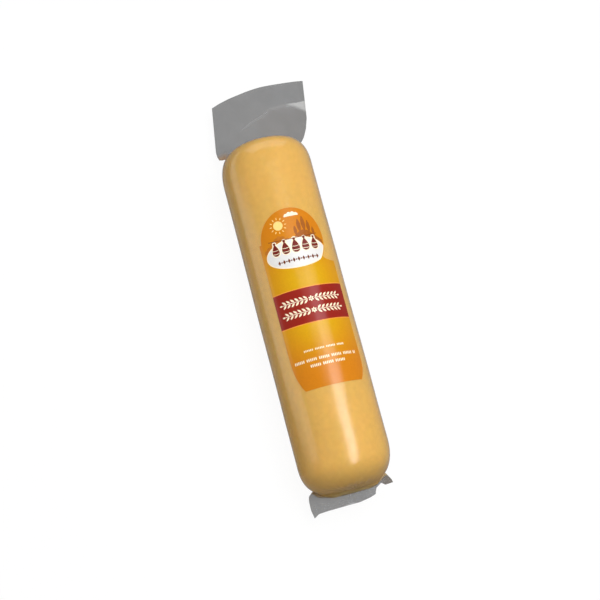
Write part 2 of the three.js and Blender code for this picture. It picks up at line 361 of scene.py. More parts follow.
class Finish:
    """A Principled material and short names for the nodes that feed it."""

    def __init__(self, name):
        self.material = bpy.data.materials.new(name)
        self.material.use_nodes = True
        tree = self.material.node_tree
        self.nodes = tree.nodes
        self.links = tree.links
        self.shader = tree.nodes["Principled BSDF"]
        self.place = self.nodes.new("ShaderNodeTexCoord").outputs["Object"]

    def set(self, **values):
        """Plain values on the shader's own sockets, with _ for a space in a socket's name."""
        for name, value in values.items():
            self.put(self.shader.inputs[name.replace("_", " ")], value)

    def feed(self, name, output):
        self.links.new(output, self.shader.inputs[name])

    def put(self, socket, value):
        """Links an output to a socket, or sets a plain number or colour on it."""
        if isinstance(value, bpy.types.NodeSocket):
            self.links.new(value, socket)
        elif socket.type == "RGBA":
            socket.default_value = (*value, 1)
        else:
            socket.default_value = value

    def node(self, kind, **inputs):
        """A node with values or links on its inputs, with _ for a space in an input's name."""
        made = self.nodes.new("ShaderNode" + kind)
        for name, value in inputs.items():
            self.put(made.inputs[name.replace("_", " ")], value)
        return made

    def noise(self, size, detail, stretch=(1, 1, 1)):
        """Noise from 0 to 1 whose features are about size millimetres across."""
        place = self.node("Mapping", Vector=self.place, Scale=stretch).outputs["Vector"]
        return self.node("TexNoise", Vector=place, Scale=1 / (size * MM), Detail=detail).outputs["Fac"]

    def math(self, operation, first, second=0.0):
        node = self.node("Math")
        node.operation = operation
        self.put(node.inputs[0], first)
        self.put(node.inputs[1], second)
        return node.outputs[0]

    def spread(self, value, low, high, to_low=0.0, to_high=1.0):
        """Value from low to high laid out from to_low to to_high with a soft step."""
        node = self.node("MapRange", Value=value, From_Min=low, From_Max=high, To_Min=to_low, To_Max=to_high)
        node.interpolation_type = "SMOOTHSTEP"
        return node.outputs["Result"]

    def over_span(self, place, span, to_low=0.0, to_high=1.0):
        """A place in metres, over a span of millimetres, laid out from to_low to to_high."""
        return self.spread(place, span[0] * MM, span[1] * MM, to_low, to_high)

    def uneven(self, size, detail, low, high, stretch=(1, 1, 1), noise_range=(0.3, 0.7)):
        """Patches of about size millimetres, whose values go from low to high."""
        return self.spread(self.noise(size, detail, stretch), *noise_range, low, high)

    def mix(self, share, first, second):
        """The colour at a share of the way from the first to the second."""
        node = self.node("Mix")
        node.data_type = "RGBA"
        self.put(node.inputs["Factor"], share)
        self.put(node.inputs[6], first)
        self.put(node.inputs[7], second)
        return node.outputs[2]

    def shade(self, colour, brightness):
        """Colour times brightness."""
        node = self.node("VectorMath")
        node.operation = "SCALE"
        self.put(node.inputs[0], colour)
        self.put(node.inputs["Scale"], brightness)
        return node.outputs[0]

    def axes(self):
        """The place's X, Y and Z, in metres."""
        return self.node("SeparateXYZ", Vector=self.place).outputs

    def attribute(self, name):
        """A mesh attribute's number, which is 0 on a mesh without it."""
        node = self.node("Attribute")
        node.attribute_name = name
        return node.outputs["Fac"]

    def facing(self):
        """0 where the surface faces the eye, up to 1 where it is seen edge on."""
        return self.node("LayerWeight", Blend=0.5).outputs["Facing"]

    def bump(self, height, depth):
        """Relief of depth millimetres."""
        node = self.node("Bump", Strength=1, Distance=depth * MM, Height=height)
        self.feed("Normal", node.outputs["Normal"])


def cheese_finish():
    """Firm pale-amber cheese, mottled and finely grained, with painted shade at its bottom end and on the
    ridge there.
    """
    finish = Finish("cheese")
    patches = finish.uneven(46, 3, 0, 1, stretch=(0.6, 1, 1), noise_range=(0.35, 0.65))
    colour = finish.mix(patches, CHEESE_COLOURS["deep"], CHEESE_COLOURS["pale"])
    x, _, _ = finish.axes()
    # Painted shade: darker and browner towards the bottom end, and darker and greyer on the ridge there.
    for name, span in (("shaded_end", SHADED_END_ALONG), ("ridge", RIDGE_ALONG)):
        colour = finish.mix(finish.over_span(x, span, 1, 0), colour, CHEESE_COLOURS[name])
    flecks = finish.uneven(5, 4, 0.965, 1.03)
    grain = finish.uneven(0.9, 2, 0.975, 1.025, noise_range=(0.25, 0.75))
    finish.feed("Base Color", finish.shade(finish.shade(colour, flecks), grain))
    finish.feed("Roughness", finish.uneven(12, 3, 0.155, 0.195))
    finish.set(IOR=1.5, Specular_IOR_Level=0.5)
    finish.set(Subsurface_Weight=0.25, Subsurface_Scale=0.006, Subsurface_Radius=(1, 0.55, 0.2))
    finish.set(Sheen_Weight=0.08, Sheen_Roughness=0.35, Sheen_Tint=(1, 0.35, 0.12))
    finish.bump(finish.noise(3, 3), 0.02)
    return finish.material


def film_finish():
    """Shrink film that shows more where it is seen edge on, unless it clings to an end face, in a colour
    that holds a painted reflection.
    """
    finish = Finish("film")
    haze = finish.uneven(14, 3, 0.92, 1.08, stretch=(0.3, 1, 1))
    finish.feed("Base Color", finish.shade(FILM_COLOUR, haze))
    edge = finish.math("POWER", finish.facing(), FILM_ALPHA["power"])
    less = finish.math("MULTIPLY", finish.attribute("clinging"), FILM_ALPHA["less"])
    most = finish.math("SUBTRACT", FILM_ALPHA["most"], less)
    finish.feed("Alpha", finish.math("ADD", finish.math("MULTIPLY", edge, most), FILM_ALPHA["least"]))
    finish.feed("Roughness", finish.uneven(20, 2, 0.22, 0.32))
    finish.bump(finish.noise(6, 3, (0.25, 1, 1)), 0.03)
    return finish.material


def tail_finish():
    """The same film where two walls of the bag lie together, brown where it lies on the cheese, with painted
    shade and painted highlights.
    """
    finish = Finish("tail_film")
    x, y, _ = finish.axes()
    # Where the film lies on the cheese: at the bottom end with that end's painted shade.
    which_end = finish.over_span(x, BETWEEN_TAILS)
    on_cheese = finish.mix(which_end, TAIL_COLOURS["on_bottom_end"], TAIL_COLOURS["on_top_end"])
    haze = finish.uneven(26, 3, 0.96, 1.04)
    # Painted shade: the film darker towards the tails' right side.
    right_shade = finish.over_span(y, TAIL_RIGHT_SHADE["y_span"], TAIL_RIGHT_SHADE["brightness"], 1)
    # Painted reflection of the cheese, with a little painted shade, below the long tail's fold.
    colour = finish.mix(finish.attribute("reflection_and_shade"), TAIL_COLOURS["clear"], TAIL_COLOURS["warm"])
    colour = finish.shade(finish.shade(colour, haze), right_shade)
    colour = finish.mix(finish.attribute("folded"), colour, TAIL_COLOURS["folded"])
    colour = finish.mix(finish.attribute("over_cheese"), colour, on_cheese)
    # Painted highlights and painted light, where the shine mark is.
    colour = finish.mix(finish.attribute("shine"), colour, TAIL_COLOURS["shining"])
    finish.feed("Base Color", colour)
    alpha = finish.uneven(16, 2, TAIL_ALPHA["low"], TAIL_ALPHA["high"])
    for name, more in TAIL_MORE_ALPHA.items():
        alpha = finish.math("ADD", alpha, finish.math("MULTIPLY", finish.attribute(name), more))
    finish.feed("Alpha", alpha)
    finish.feed("Roughness", finish.uneven(22, 2, 0.36, 0.44))
    finish.set(Specular_IOR_Level=0.3)
    finish.bump(finish.noise(7, 2, (0.4, 1, 1)), 0.02)
    return finish.material


def add_satin_print(finish, colour, variation):
    """Satin ink on label paper, a little uneven, with the paper's fine tooth."""
    ink = finish.uneven(2.2, 3, 1 - variation, 1 + variation)
    finish.feed("Base Color", finish.shade(colour, ink))
    finish.set(IOR=1.5, Specular_IOR_Level=0.42)
    finish.feed("Roughness", finish.uneven(9, 2, 0.17, 0.21))
    finish.bump(finish.noise(0.8, 2), 0.01)


def label_finish():
    """The label's ground: yellow round the band, through amber, to orange at its edges and ends."""
    finish = Finish("label_ground")
    x, y, _ = finish.axes()
    lengthwise = finish.math("ABSOLUTE", finish.math("SUBTRACT", x, LABEL_YELLOW["middle"] * MM))
    sideways = finish.math("ABSOLUTE", y)
    yellow = finish.math(
        "MULTIPLY",
        finish.over_span(lengthwise, LABEL_YELLOW["along_fall"], 1, 0),
        finish.over_span(sideways, LABEL_YELLOW["across_fall"], 1, LABEL_YELLOW["share_at_sides"]),
    )
    colour = finish.mix(yellow, LABEL_COLOURS["orange"], LABEL_COLOURS["yellow"])
    add_satin_print(finish, colour, 0.025)
    return finish.material


# --- Meshes ---


def new_object(name, mesh, material):
    """A mesh as an object in the scene."""
    mesh.materials.append(material)
    made = bpy.data.objects.new(name, mesh)
    bpy.context.scene.collection.objects.link(made)
    return made


def add_piece(name, mesh, material, slot, node):
    """A smooth piece that rides on the one body in place of a solid."""
    mesh.shade_smooth()
    piece = new_object(name, mesh, material)
    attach(piece, "root")
    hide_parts(node)


def mesh_from(name, points, faces, attributes):
    """A mesh from points in millimetres, with a number at each point for every attribute."""
    mesh = bpy.data.meshes.new(name)
    mesh.from_pydata([Vector(point) * MM for point in points], [], faces)
    for key, values in attributes.items():
        mesh.attributes.new(key, "FLOAT", "POINT").data.foreach_set("value", values)
    return mesh


def end_outline(end):
    """Half of the log's outline from near the middle of an end to its straight side."""
    corner_length, corner_depth = end["corner"]
    cap_radius = RADIUS - corner_depth
    outline = []
    for i in range(1, DOME_STEPS):
        share = i / DOME_STEPS
        outline.append((cap_radius * share, LENGTH / 2 + end["dome"] * (1 - share**2)))
    for i in range(CORNER_STEPS + 1):
        turn = math.pi / 2 * (1 - i / CORNER_STEPS)
        outline.append((
            cap_radius + corner_depth * math.cos(turn),
            LENGTH / 2 - corner_length * (1 - math.sin(turn)),
        ))
    return outline


def log_outline():
    """The log's outline from its bottom end to its top end, as (distance from the axis, X)."""
    bottom = [(radius, -x) for radius, x in end_outline(BOTTOM_END)]
    top = end_outline(TOP_END)[::-1]
    start = bottom[-1][1]
    stretch = top[0][1] - start
    count = round(stretch / RING_SPACING)
    side = [(RADIUS, start + stretch * i / count) for i in range(1, count)]
    return bottom + side + top


def unevenness(x, radius, turn):
    """How far the cheese stands out of or sinks below its even shape."""
    y = radius * math.sin(turn)
    z = radius * math.cos(turn)
    broad_across = BROAD_WAVES["across"]
    broad = noise.noise(Vector((x / BROAD_WAVES["along"], y / broad_across, z / broad_across)))
    size = SMALL_WAVES["size"]
    small = noise.noise(Vector((x / size, y / size, z / size)) + Vector(SMALL_WAVES["shift"]))
    end = TOP_END if x > 0 else BOTTOM_END
    corner = (abs(x) - LENGTH / 2 + end["corner"][0]) / end["corner"][0]
    corner = min(1, max(0, corner))
    hump = HUMP_SCALE * corner**2 * (1 - corner)
    fuller = hump * (end["fullness"] - math.copysign(end["skew"], x) * math.sin(turn))
    flatter = FLAT_FLANK["depth"] * smooth(*FLAT_FLANK["step"], math.sin(turn))
    return BROAD_WAVES["height"] * broad + SMALL_WAVES["height"] * small + fuller - flatter


def drawn_out(x, radius, turn):
    """How far the closing film draws the cheese out of its bottom end, into the skirt."""
    if x > DRAWN_OUT["start"] - LENGTH / 2:
        return 0
    away = turn - TAIL_TURN
    across = -radius * math.sin(away)
    height = radius * math.cos(away) - BOTTOM_SKIRT["middle_height"]
    reach = along(SKIRT_ON_CHEESE, across) + x + LENGTH / 2
    sides = 1 - smooth(*DRAWN_OUT["sides"], abs(across))
    return max(0, reach) * sides * bell(height, DRAWN_OUT["half_height"])


def cap_pleats(radius, x, turn):
    """Folds of the gathered film on the end faces, from 0 to 1."""
    if abs(x) < LENGTH / 2 - CAP_PLEATS["start"]:
        return 0
    shown = smooth(*CAP_PLEATS["middle_step"], radius) * smooth(*CAP_PLEATS["edge_step"], RADIUS - radius)
    size = CAP_WANDER["size"]
    place = (math.cos(turn) * size, math.sin(turn) * size, radius / CAP_WANDER["length"])
    wander = CAP_WANDER["turn"] * noise.noise(Vector(place))
    fold = 0.5 + 0.5 * math.cos(CAP_PLEATS["count"] * turn + wander)
    return shown * fold ** CAP_PLEATS["sharpness"]


def log_points(depth, pleat_height):
    """Rings of points depth below the solid's surface, flat where the log rests, then two poles.

    A turn round a ring starts straight up and goes towards +Y.
    """
    outline = log_outline()
    points = []
    for i, (radius, x) in enumerate(outline):
        before = outline[max(0, i - 1)]
        after = outline[min(len(outline) - 1, i + 1)]
        slope = Vector((after[0] - before[0], after[1] - before[1])).normalized()
        for j in range(LOG_SIDES):
            turn = 2 * math.pi * j / LOG_SIDES
            offset = unevenness(x, radius, turn) - depth + pleat_height * cap_pleats(radius, x, turn)
            out = radius + offset * slope.y
            points.append((
                x - offset * slope.x - drawn_out(x, radius, turn),
                out * math.sin(turn),
                max(depth, AXIS_HEIGHT + out * math.cos(turn)),
            ))
    for end, side in ((BOTTOM_END, -1), (TOP_END, 1)):
        x = side * (LENGTH / 2 + end["dome"])
        offset = unevenness(x, 0, 0) - depth + drawn_out(x, 0, 0)
        points.append((x + side * offset, 0, AXIS_HEIGHT))
    return points, len(outline)


def log_faces(rings, first=0, inward=False):
    """The faces over rings of points that start at number first, with a fan round each pole."""
    sides = LOG_SIDES
    faces = []
    for i in range(rings - 1):
        for j in range(sides):
            right = (j + 1) % sides
            face = (
                first + i * sides + j,
                first + (i + 1) * sides + j,
                first + (i + 1) * sides + right,
                first + i * sides + right,
            )
            faces.append(face[::-1] if inward else face)
    for pole, ring, outward in ((0, 0, True), (1, rings - 1, False)):
        for j in range(sides):
            start = first + ring * sides
            face = (first + rings * sides + pole, start + j, start + (j + 1) % sides)
            faces.append(face if outward != inward else face[::-1])
    return faces


def cheese_body():
    points, rings = log_points(CHEESE_DEPTH, CHEESE_PLEATS)
    mesh = mesh_from("cheese_body", points, log_faces(rings), {})
    add_piece("cheese_body", mesh, cheese_finish(), "cheese", "wrapped_cheese")


def clinging(x):
    """How closely the film clings near an end face, from 0 to 1."""
    start, full = CLINGING["bottom" if x < 0 else "top"]
    return smooth(LENGTH / 2 - start, LENGTH / 2 - full, abs(x))


def film_skin():
    """The film round the log, as two skins with its thickness between them."""
    outer, rings = log_points(FILM_DEPTH, FILM_PLEATS)
    inner, _ = log_points(FILM_DEPTH + FILM_THICKNESS, FILM_PLEATS)
    points = outer + inner
    faces = log_faces(rings) + log_faces(rings, len(outer), inward=True)
    mesh = mesh_from("film_skin", points, faces, {"clinging": [clinging(x) for x, _, _ in points]})
    add_piece("film_skin", mesh, film_finish(), "film", "wrapped_cheese")


def shell_faces(rows, columns):
    """The faces of a closed shell between two grids of points, the upper one first."""
    count = (rows + 1) * (columns + 1)

    def corner(layer, row, column):
        return layer * count + row * (columns + 1) + column

    faces = []
    for row in range(rows):
        for column in range(columns):
            square = [(row, column), (row, column + 1), (row + 1, column + 1), (row + 1, column)]
            faces.append(tuple(corner(0, *place) for place in square))
            faces.append(tuple(corner(1, *place) for place in reversed(square)))
    rim = [(0, column) for column in range(columns)]
    rim += [(row, columns) for row in range(rows)]
    rim += [(rows, column) for column in range(columns, 0, -1)]
    rim += [(row, 0) for row in range(rows, 0, -1)]
    for here, there in zip(rim, rim[1:] + rim[:1]):
        faces.append((corner(1, *here), corner(1, *there), corner(0, *there), corner(0, *here)))
    return faces


def patch(form, reach, across):
    """How much of a patch shows at a place."""
    strength, reach_steps, across_steps = form
    for step in reach_steps:
        strength *= smooth(*step, reach)
    for step in across_steps:
        strength *= smooth(*step, across)
    return strength


def pleats(form, across):
    """Pleats side by side over the place across."""
    height, rate, wander, wander_width = form
    return height * math.sin(across * rate + wander * math.sin(across / wander_width))


def top_relief(reach, across):
    """Folds and waves of the long tail, off its even surface."""
    crease = bell(reach - along(CREASE, across), CREASE_WIDTH) * patch(CREASE_RELIEF, reach, across)
    free = smooth(*TOP_FREE_STEP, reach) * (1 - TOP_EDGE_LOSS * smooth(*TOP_EDGE_STEP, reach))
    height, wave_across, wave_reach = TOP_WAVE
    wave = height * math.sin(across / wave_across + reach / wave_reach)
    height, broad_across, broad_reach = TOP_BROAD_WAVE
    broad = height * noise.noise(Vector((across / broad_across, reach / broad_reach, TOP_NOISE_SLICE)))
    near_root = math.exp(-max(0, reach) / TOP_PLEATS_FADE)
    return crease + free * (wave + broad) + near_root * pleats(TOP_PLEATS, across)


def top_shine(reach, across):
    """Painted highlight: the film paler along the soft fold, and on the facet beside it."""
    away = reach - along(CREASE, across)
    fold = bell(away, CREASE_SHINE_WIDTH) * patch(CREASE_SHINE, reach, across)
    if across < GLINT_UPPER[0][0]:
        return fold
    under = smooth(*GLINT_UPPER_STEP, reach - along(GLINT_UPPER, across))
    return max(fold, under * patch(FACET, reach - along(GLINT_LOWER, across), across))


def top_reflection_and_shade(reach, across):
    """Painted reflection of the cheese, with a little painted shade: browner and a little darker below the
    fold, on the right.
    """
    return patch(TOP_REFLECTION_AND_SHADE, reach - along(CREASE, across), across)


def skirt_relief(reach, across):
    """Folds of the short skirt, off its even surface, and the lip that bends down at its edge."""
    return pleats(SKIRT_PLEATS, across) + patch(SKIRT_LIP, reach, across)


def skirt_over_cheese(reach, across):
    """Where the film still lies on the cheese: along the root."""
    return smooth(*SKIRT_ON_CHEESE_STEP, reach - along(SKIRT_ON_CHEESE, across))


def skirt_shine(reach, across):
    """Painted light: the film paler at a painted highlight on its free edge, and a little along its root,
    against the shade there.
    """
    return max(patch(SKIRT_GLINT, reach, across), patch(SKIRT_ROOT_SHINE, reach, across))


def tail(name, shape, relief, marks, material):
    """One tail of the bag: two walls of film that leave the log together and end at a cut edge."""
    columns = shape["columns"]
    middle = (shape["left"][-1][1] + shape["right"][-1][1]) / 2
    half_width = (shape["right"][-1][1] - shape["left"][-1][1]) / 2
    edge_start = shape["reach"][0][0]
    edge_width = shape["reach"][-1][0] - edge_start
    turn = Matrix.Rotation(-TAIL_TURN, 3, "X")
    layers = ([], [])
    attributes = {key: [] for key in marks}
    for row in range(TAIL_ROWS + 1):
        for column in range(columns + 1):
            share = column / columns
            free_edge = along(shape["reach"], edge_start + edge_width * share)
            reach = -ROOT_DEPTH + (free_edge + ROOT_DEPTH) * row / TAIL_ROWS
            left = along(shape["left"], reach)
            across = left + (along(shape["right"], reach) - left) * share
            centre = middle - shape["lean"] * (shape["reach"][0][1] - reach)
            drop = shape["side_drop"] * ((across - centre) / half_width) ** 2
            swell = shape["root_swell"] * max(0, 1 - max(0, reach) / ROOT_SWELL_REACH) ** 2
            lens = math.sqrt(max(0, 1 - (2 * share - 1) ** 2))
            height = shape["middle_height"] - drop + relief(reach, across)
            half = (TAIL_GAP + swell * lens) / 2
            for layer, side in zip(layers, (1, -1)):
                point = turn @ Vector((0, -across, height + side * half))
                point += Vector((shape["end"] * (LENGTH / 2 + reach), 0, AXIS_HEIGHT))
                layer.append(tuple(point))
            for key, mark in marks.items():
                attributes[key].append(mark(reach, across))
    faces = shell_faces(TAIL_ROWS, columns)
    if shape["end"] < 0:
        faces = [face[::-1] for face in faces]
    on_both_walls = {key: values * 2 for key, values in attributes.items()}
    mesh = mesh_from(name, layers[0] + layers[1], faces, on_both_walls)
    add_piece(name, mesh, material, "film", "wrapped_cheese")


def tails():
    """The long tail at the top end and the short skirt at the bottom end."""
    film = tail_finish()
    on_cheese = functools.partial(patch, TOP_ON_CHEESE)
    # The long tail's marks carry painted highlights, and a painted reflection of the cheese with a little
    # painted shade.
    marks = {"reflection_and_shade": top_reflection_and_shade, "shine": top_shine, "over_cheese": on_cheese}
    tail("top_tail", TOP_TAIL, top_relief, marks, film)
    ear = functools.partial(patch, SKIRT_EAR)
    # The skirt's marks carry painted highlights and painted light, and painted shade where it lies on the
    # cheese.
    marks = {"folded": ear, "shine": skirt_shine, "over_cheese": skirt_over_cheese}
    tail("bottom_skirt", BOTTOM_SKIRT, skirt_relief, marks, film)


# --- Flat outlines, as (across, along) points ---


def arc(centre, semi_axes, first, last, steps):
    """The points of an ellipse from the first angle to the last."""
    points = []
    for i in range(steps + 1):
        turn = first + (last - first) * i / steps
        points.append((centre[0] + semi_axes[0] * math.cos(turn), centre[1] + semi_axes[1] * math.sin(turn)))
    return points


def ellipse(centre, semi_axes, steps):
    return arc(centre, semi_axes, 0, 2 * math.pi, steps)[:-1]


def placed(outline, centre, turn=0.0, size=1.0):
    """An outline turned, scaled and moved to centre."""
    cos = math.cos(turn) * size
    sin = math.sin(turn) * size
    return [(centre[0] + a * cos - b * sin, centre[1] + a * sin + b * cos) for a, b in outline]


def rayed(outline, centre, radius, count, first=0.0):
    """Copies of an outline round a centre, each starting at a radius and pointing away."""
    copies = []
    for i in range(count):
        turn = first + 2 * math.pi * i / count
        foot = (centre[0] + radius * math.cos(turn), centre[1] + radius * math.sin(turn))
        copies.append(placed(outline, foot, turn))
    return copies


def leaf(length, width, steps=7):
    """A pointed leaf from the origin along the first axis."""
    side = [
        (length * i / steps, width / 2 * math.sin(math.pi * i / steps) ** LEAF_ROUNDNESS)
        for i in range(1, steps)
    ]
    return [(0, 0)] + [(a, -b) for a, b in side] + [(length, 0)] + side[::-1]


def mirrored(profile):
    """An outline from the right half of a shape, as (half width, height) points going up."""
    return profile + [(-half, height) for half, height in reversed(profile) if half > 0]


def places_between(start, end, steps):
    return [start + (end - start) * i / steps for i in range(steps + 1)]


def field_over(base, upper, start, end, steps):
    """The field from a level base up to a curve, which is a height over the place across."""
    places = [a for a in places_between(start, end, steps) if upper(a) > base + SHALLOWEST_FIELD]
    return [(places[0], base), (places[-1], base)] + [(a, upper(a)) for a in reversed(places)]


def ribbon(line, form, middle=0):
    """A stripe of even height along a curve over the place across."""
    places = places_between(middle - form["half_width"], middle + form["half_width"], form["steps"])
    half = form["thickness"] / 2
    return [(a, line(a) - half) for a in places] + [(a, line(a) + half) for a in reversed(places)]


def bow(height, rise, middle=0):
    """A curve that is lowest over its middle."""
    return lambda across: height + rise * (across - middle) ** 2


def hill(height, middle, width):
    """A rounded hill over the place across."""
    return lambda across: HILLS["foot"] + height * bell(across - middle, width)


def disc_top(across, inset):
    """The upper edge of the label's disc less inset, over the place across."""
    radius = DISC_RADIUS - inset
    return DISC_MIDDLE[1] + math.sqrt(max(0, radius**2 - (across - DISC_MIDDLE[0]) ** 2))


def kept_inside(outline, inset):
    """An outline whose right side is kept inside the label's disc less inset."""
    centre = Vector(DISC_MIDDLE)
    limit = DISC_RADIUS - inset
    kept = []
    for a, b in outline:
        away = Vector((a, b)) - centre
        if a > 0 and away.length > limit:
            a, b = centre + away * limit / away.length
        kept.append((a, b))
    return kept


def label_loop():
    """The label's outline, up its right side and down its left one."""
    disc_across, disc_along = DISC_MIDDLE
    hollow = LABEL_HOLLOW
    right = [(distance, x) for x, distance in LABEL_RIGHT]
    shoulder = right[-1][0]
    for i in range(hollow["steps"] + 1):
        turn = math.pi / 2 * i / hollow["steps"]
        right.append((
            shoulder - hollow["width"] * math.sin(turn),
            hollow["along"] + hollow["length"] * (1 - math.cos(turn)),
        ))
    first = math.atan2(hollow["along"] + hollow["length"] - disc_along, right[-1][0] - disc_across)
    step_top = LABEL_STEP["along"] + LABEL_STEP["slant"]
    last = math.pi - math.asin((step_top - disc_along) / DISC_RADIUS)
    over_disc = arc(DISC_MIDDLE, (DISC_RADIUS, DISC_RADIUS), first, last, DISC_STEPS)
    left = [(-LABEL_LEFT[-1][1], LABEL_STEP["along"])]
    left += [(-distance, x) for x, distance in reversed(LABEL_LEFT)]
    return right + over_disc + left


# --- Label ---


def curved_patch(name, outlines, layer, ink):
    """Flat outlines, each given some thickness and laid round the log, as one piece.

    Layer 0 is the paper, and each printed layer stands a little higher than the one below it. An ink is
    its material and slot.
    """
    top = LABEL_PAPER - LABEL_DEPTH + PRINT_LAYER * layer
    bottom = top - (PRINT_LAYER * layer * (1 - PRINT_LIFT) if layer else LABEL_PAPER)
    form = bmesh.new()
    for outline in outlines:
        corners = [form.verts.new((a, b, 0)) for a, b in outline]
        for triangle in tessellate_polygon([[Vector((a, b, 0)) for a, b in outline]]):
            form.faces.new([corners[i] for i in triangle])
    cuts = math.ceil(max(abs(a) for outline in outlines for a, _ in outline) / CUT_SPACING)
    for i in range(-cuts, cuts + 1):
        everything = form.verts[:] + form.edges[:] + form.faces[:]
        cut = Vector((i * CUT_SPACING, 0, 0))
        bmesh.ops.bisect_plane(form, geom=everything, dist=CUT_MERGE, plane_co=cut, plane_no=(1, 0, 0))
    bmesh.ops.recalc_face_normals(form, faces=form.faces)
    flipped = [face for face in form.faces if face.normal.z < 0]
    bmesh.ops.reverse_faces(form, faces=flipped)
    made = bmesh.ops.extrude_face_region(form, geom=form.faces[:], use_keep_orig=True)
    raised = {part for part in made["geom"] if isinstance(part, bmesh.types.BMVert)}
    for vertex in form.verts:
        radius = RADIUS + (top if vertex in raised else bottom)
        to_the_right = vertex.co.x / RADIUS
        vertex.co = Vector((
            vertex.co.y,
            -radius * math.sin(to_the_right),
            AXIS_HEIGHT + radius * math.cos(to_the_right),
        )) * MM
    bmesh.ops.recalc_face_normals(form, faces=form.faces)
    mesh = bpy.data.meshes.new(name)
    form.to_mesh(mesh)
    form.free()
    add_piece(name, mesh, *ink, "label")
    mesh.set_sharp_from_angle(angle=SHARP_ANGLE)


def countryside(inks):
    """Two hills with bushes and trees, a sun and a cloud, in the label's disc."""
    reach = DISC_RADIUS - HILLS["side_inset"]
    left = DISC_MIDDLE[0] - reach
    right = DISC_MIDDLE[0] + reach
    far = hill(*FAR_HILL)
    near = hill(*NEAR_HILL)

    def bushes(across):
        puffs = abs(math.sin(math.pi * across / BUSHES["width"])) ** BUSHES["roundness"]
        return far(across) + BUSHES["height"] * puffs

    def hillside(top):
        def in_disc(across):
            return min(disc_top(across, PICTURE_INSET), top(across))

        return field_over(HILLS["foot"], in_disc, left, right, HILLS["steps"])

    trees = [
        placed(leaf(height, width, TREE_STEPS), (across, near(across) - TREE_FOOT_DEPTH), math.pi / 2)
        for across, height, width in TREES
    ]
    curved_patch("label_hill_far", [hillside(bushes)], 1, inks["brown"])
    curved_patch("label_hill_near", [hillside(near)], 2, inks["dark_brown"])
    curved_patch("label_trees", trees, 3, inks["dark_brown"])

    disc = ellipse(SUN["middle"], (SUN["radius"], SUN["radius"]), SUN["steps"])
    rays = rayed(leaf(*SUN["ray"]), SUN["middle"], SUN["ray_start"], SUN["rays"])
    curved_patch("label_sun", [disc] + rays, 1, inks["pale"])

    middle, foot = CLOUD["middle"]
    half_width = CLOUD["half_width"]

    def cloud_top(across):
        away = across - middle
        rise = math.sqrt(max(0, 1 - (away / half_width) ** 2))
        puffs = CLOUD["puff_share"] * abs(math.sin(math.pi * away / CLOUD["puff"]))
        return foot + CLOUD["height"] * rise * (1 - CLOUD["puff_share"] + puffs)

    cloud = field_over(foot, cloud_top, middle - half_width, middle + half_width, CLOUD["steps"])
    curved_patch("label_cloud", [cloud], 1, inks["cream"])


def plaque(inks):
    """A white plaque with tied cheeses hanging from a cord, and a row of lozenges below them."""
    across, x = PLAQUE["middle"]
    width, height = PLAQUE["semi_axes"]
    for name, layer, inset, ink in (("rim", 3, 0, "cream"), ("field", 4, PLAQUE["rim"], "white")):
        outline = ellipse((across, x), (width - inset, height - inset), PLAQUE["steps"])
        outline = kept_inside(outline, inset + PLAQUE["disc_gap"])
        curved_patch("label_plaque_" + name, [outline], layer, inks[ink])

    halos = []
    cheeses = []
    ties = []
    for i in range(-CHEESES["each_side"], CHEESES["each_side"] + 1):
        size = CHEESES["size"] - CHEESES["size_loss"] * abs(i)
        spot = (across + CHEESES["pitch"] * i, x + CHEESES["height"])
        halos.append(placed(mirrored(HUNG_CHEESE_HALO), spot, size=size))
        cheeses.append(placed(mirrored(HUNG_CHEESE), spot, size=size))
        for low in TIES["heights"]:
            ties.append(placed(ribbon(bow(low, TIES["bow"]), TIES), spot, size=size))
    curved_patch("label_cheese_halos", halos, 5, inks["cream"])
    curved_patch("label_cheeses", cheeses, 6, inks["dark_red"])
    curved_patch("label_cheese_ties", ties, 7, inks["cream"])

    each_side = LOZENGES["each_side"]
    pitch = LOZENGES["pitch"]
    row = x + LOZENGES["height"]
    half_width, half_height = LOZENGES["half_size"]
    lozenge = [(0, -half_height), (half_width, 0), (0, half_height), (-half_width, 0)]
    marks = [placed(lozenge, (across + pitch * i, row)) for i in range(-each_side, each_side + 1)]
    marks += [
        ellipse((across + pitch * (i + 0.5), row), (DOTS["radius"], DOTS["radius"]), DOTS["steps"])
        for i in range(-each_side, each_side)
    ]
    curved_patch("label_plaque_lozenges", marks, 5, inks["bark"])
    cord = ribbon(bow(x + CORD["height"], CORD["bow"], across), CORD, across)
    curved_patch("label_cord", [cord], 8, inks["bark"])


def laurel(side, middle):
    """A branch of leaves in pairs, to the right for side 1 or left for side -1, with a leaf at its tip."""
    length = LAUREL["end"] - LAUREL["start"]
    heading = 0 if side > 0 else math.pi
    count = round(length / LAUREL["pitch"])
    half_stem = LAUREL["stem"] / 2
    stem = [(0, -half_stem), (length, -half_stem), (length, half_stem), (0, half_stem)]
    outlines = [placed(stem, (side * LAUREL["start"], middle), heading)]
    for i in range(count):
        foot = side * (LAUREL["start"] + length / count * (i + LAUREL["first_pair"]))
        for up in (1, -1):
            turn = heading + side * up * LAUREL["leaf_turn"]
            outlines.append(placed(leaf(*LAUREL["leaf"]), (foot, middle + up * LAUREL["leaf_gap"]), turn))
    tip_foot = side * (LAUREL["end"] + LAUREL["tip_gap"])
    outlines.append(placed(leaf(*LAUREL["tip"]), (tip_foot, middle), heading))
    return outlines


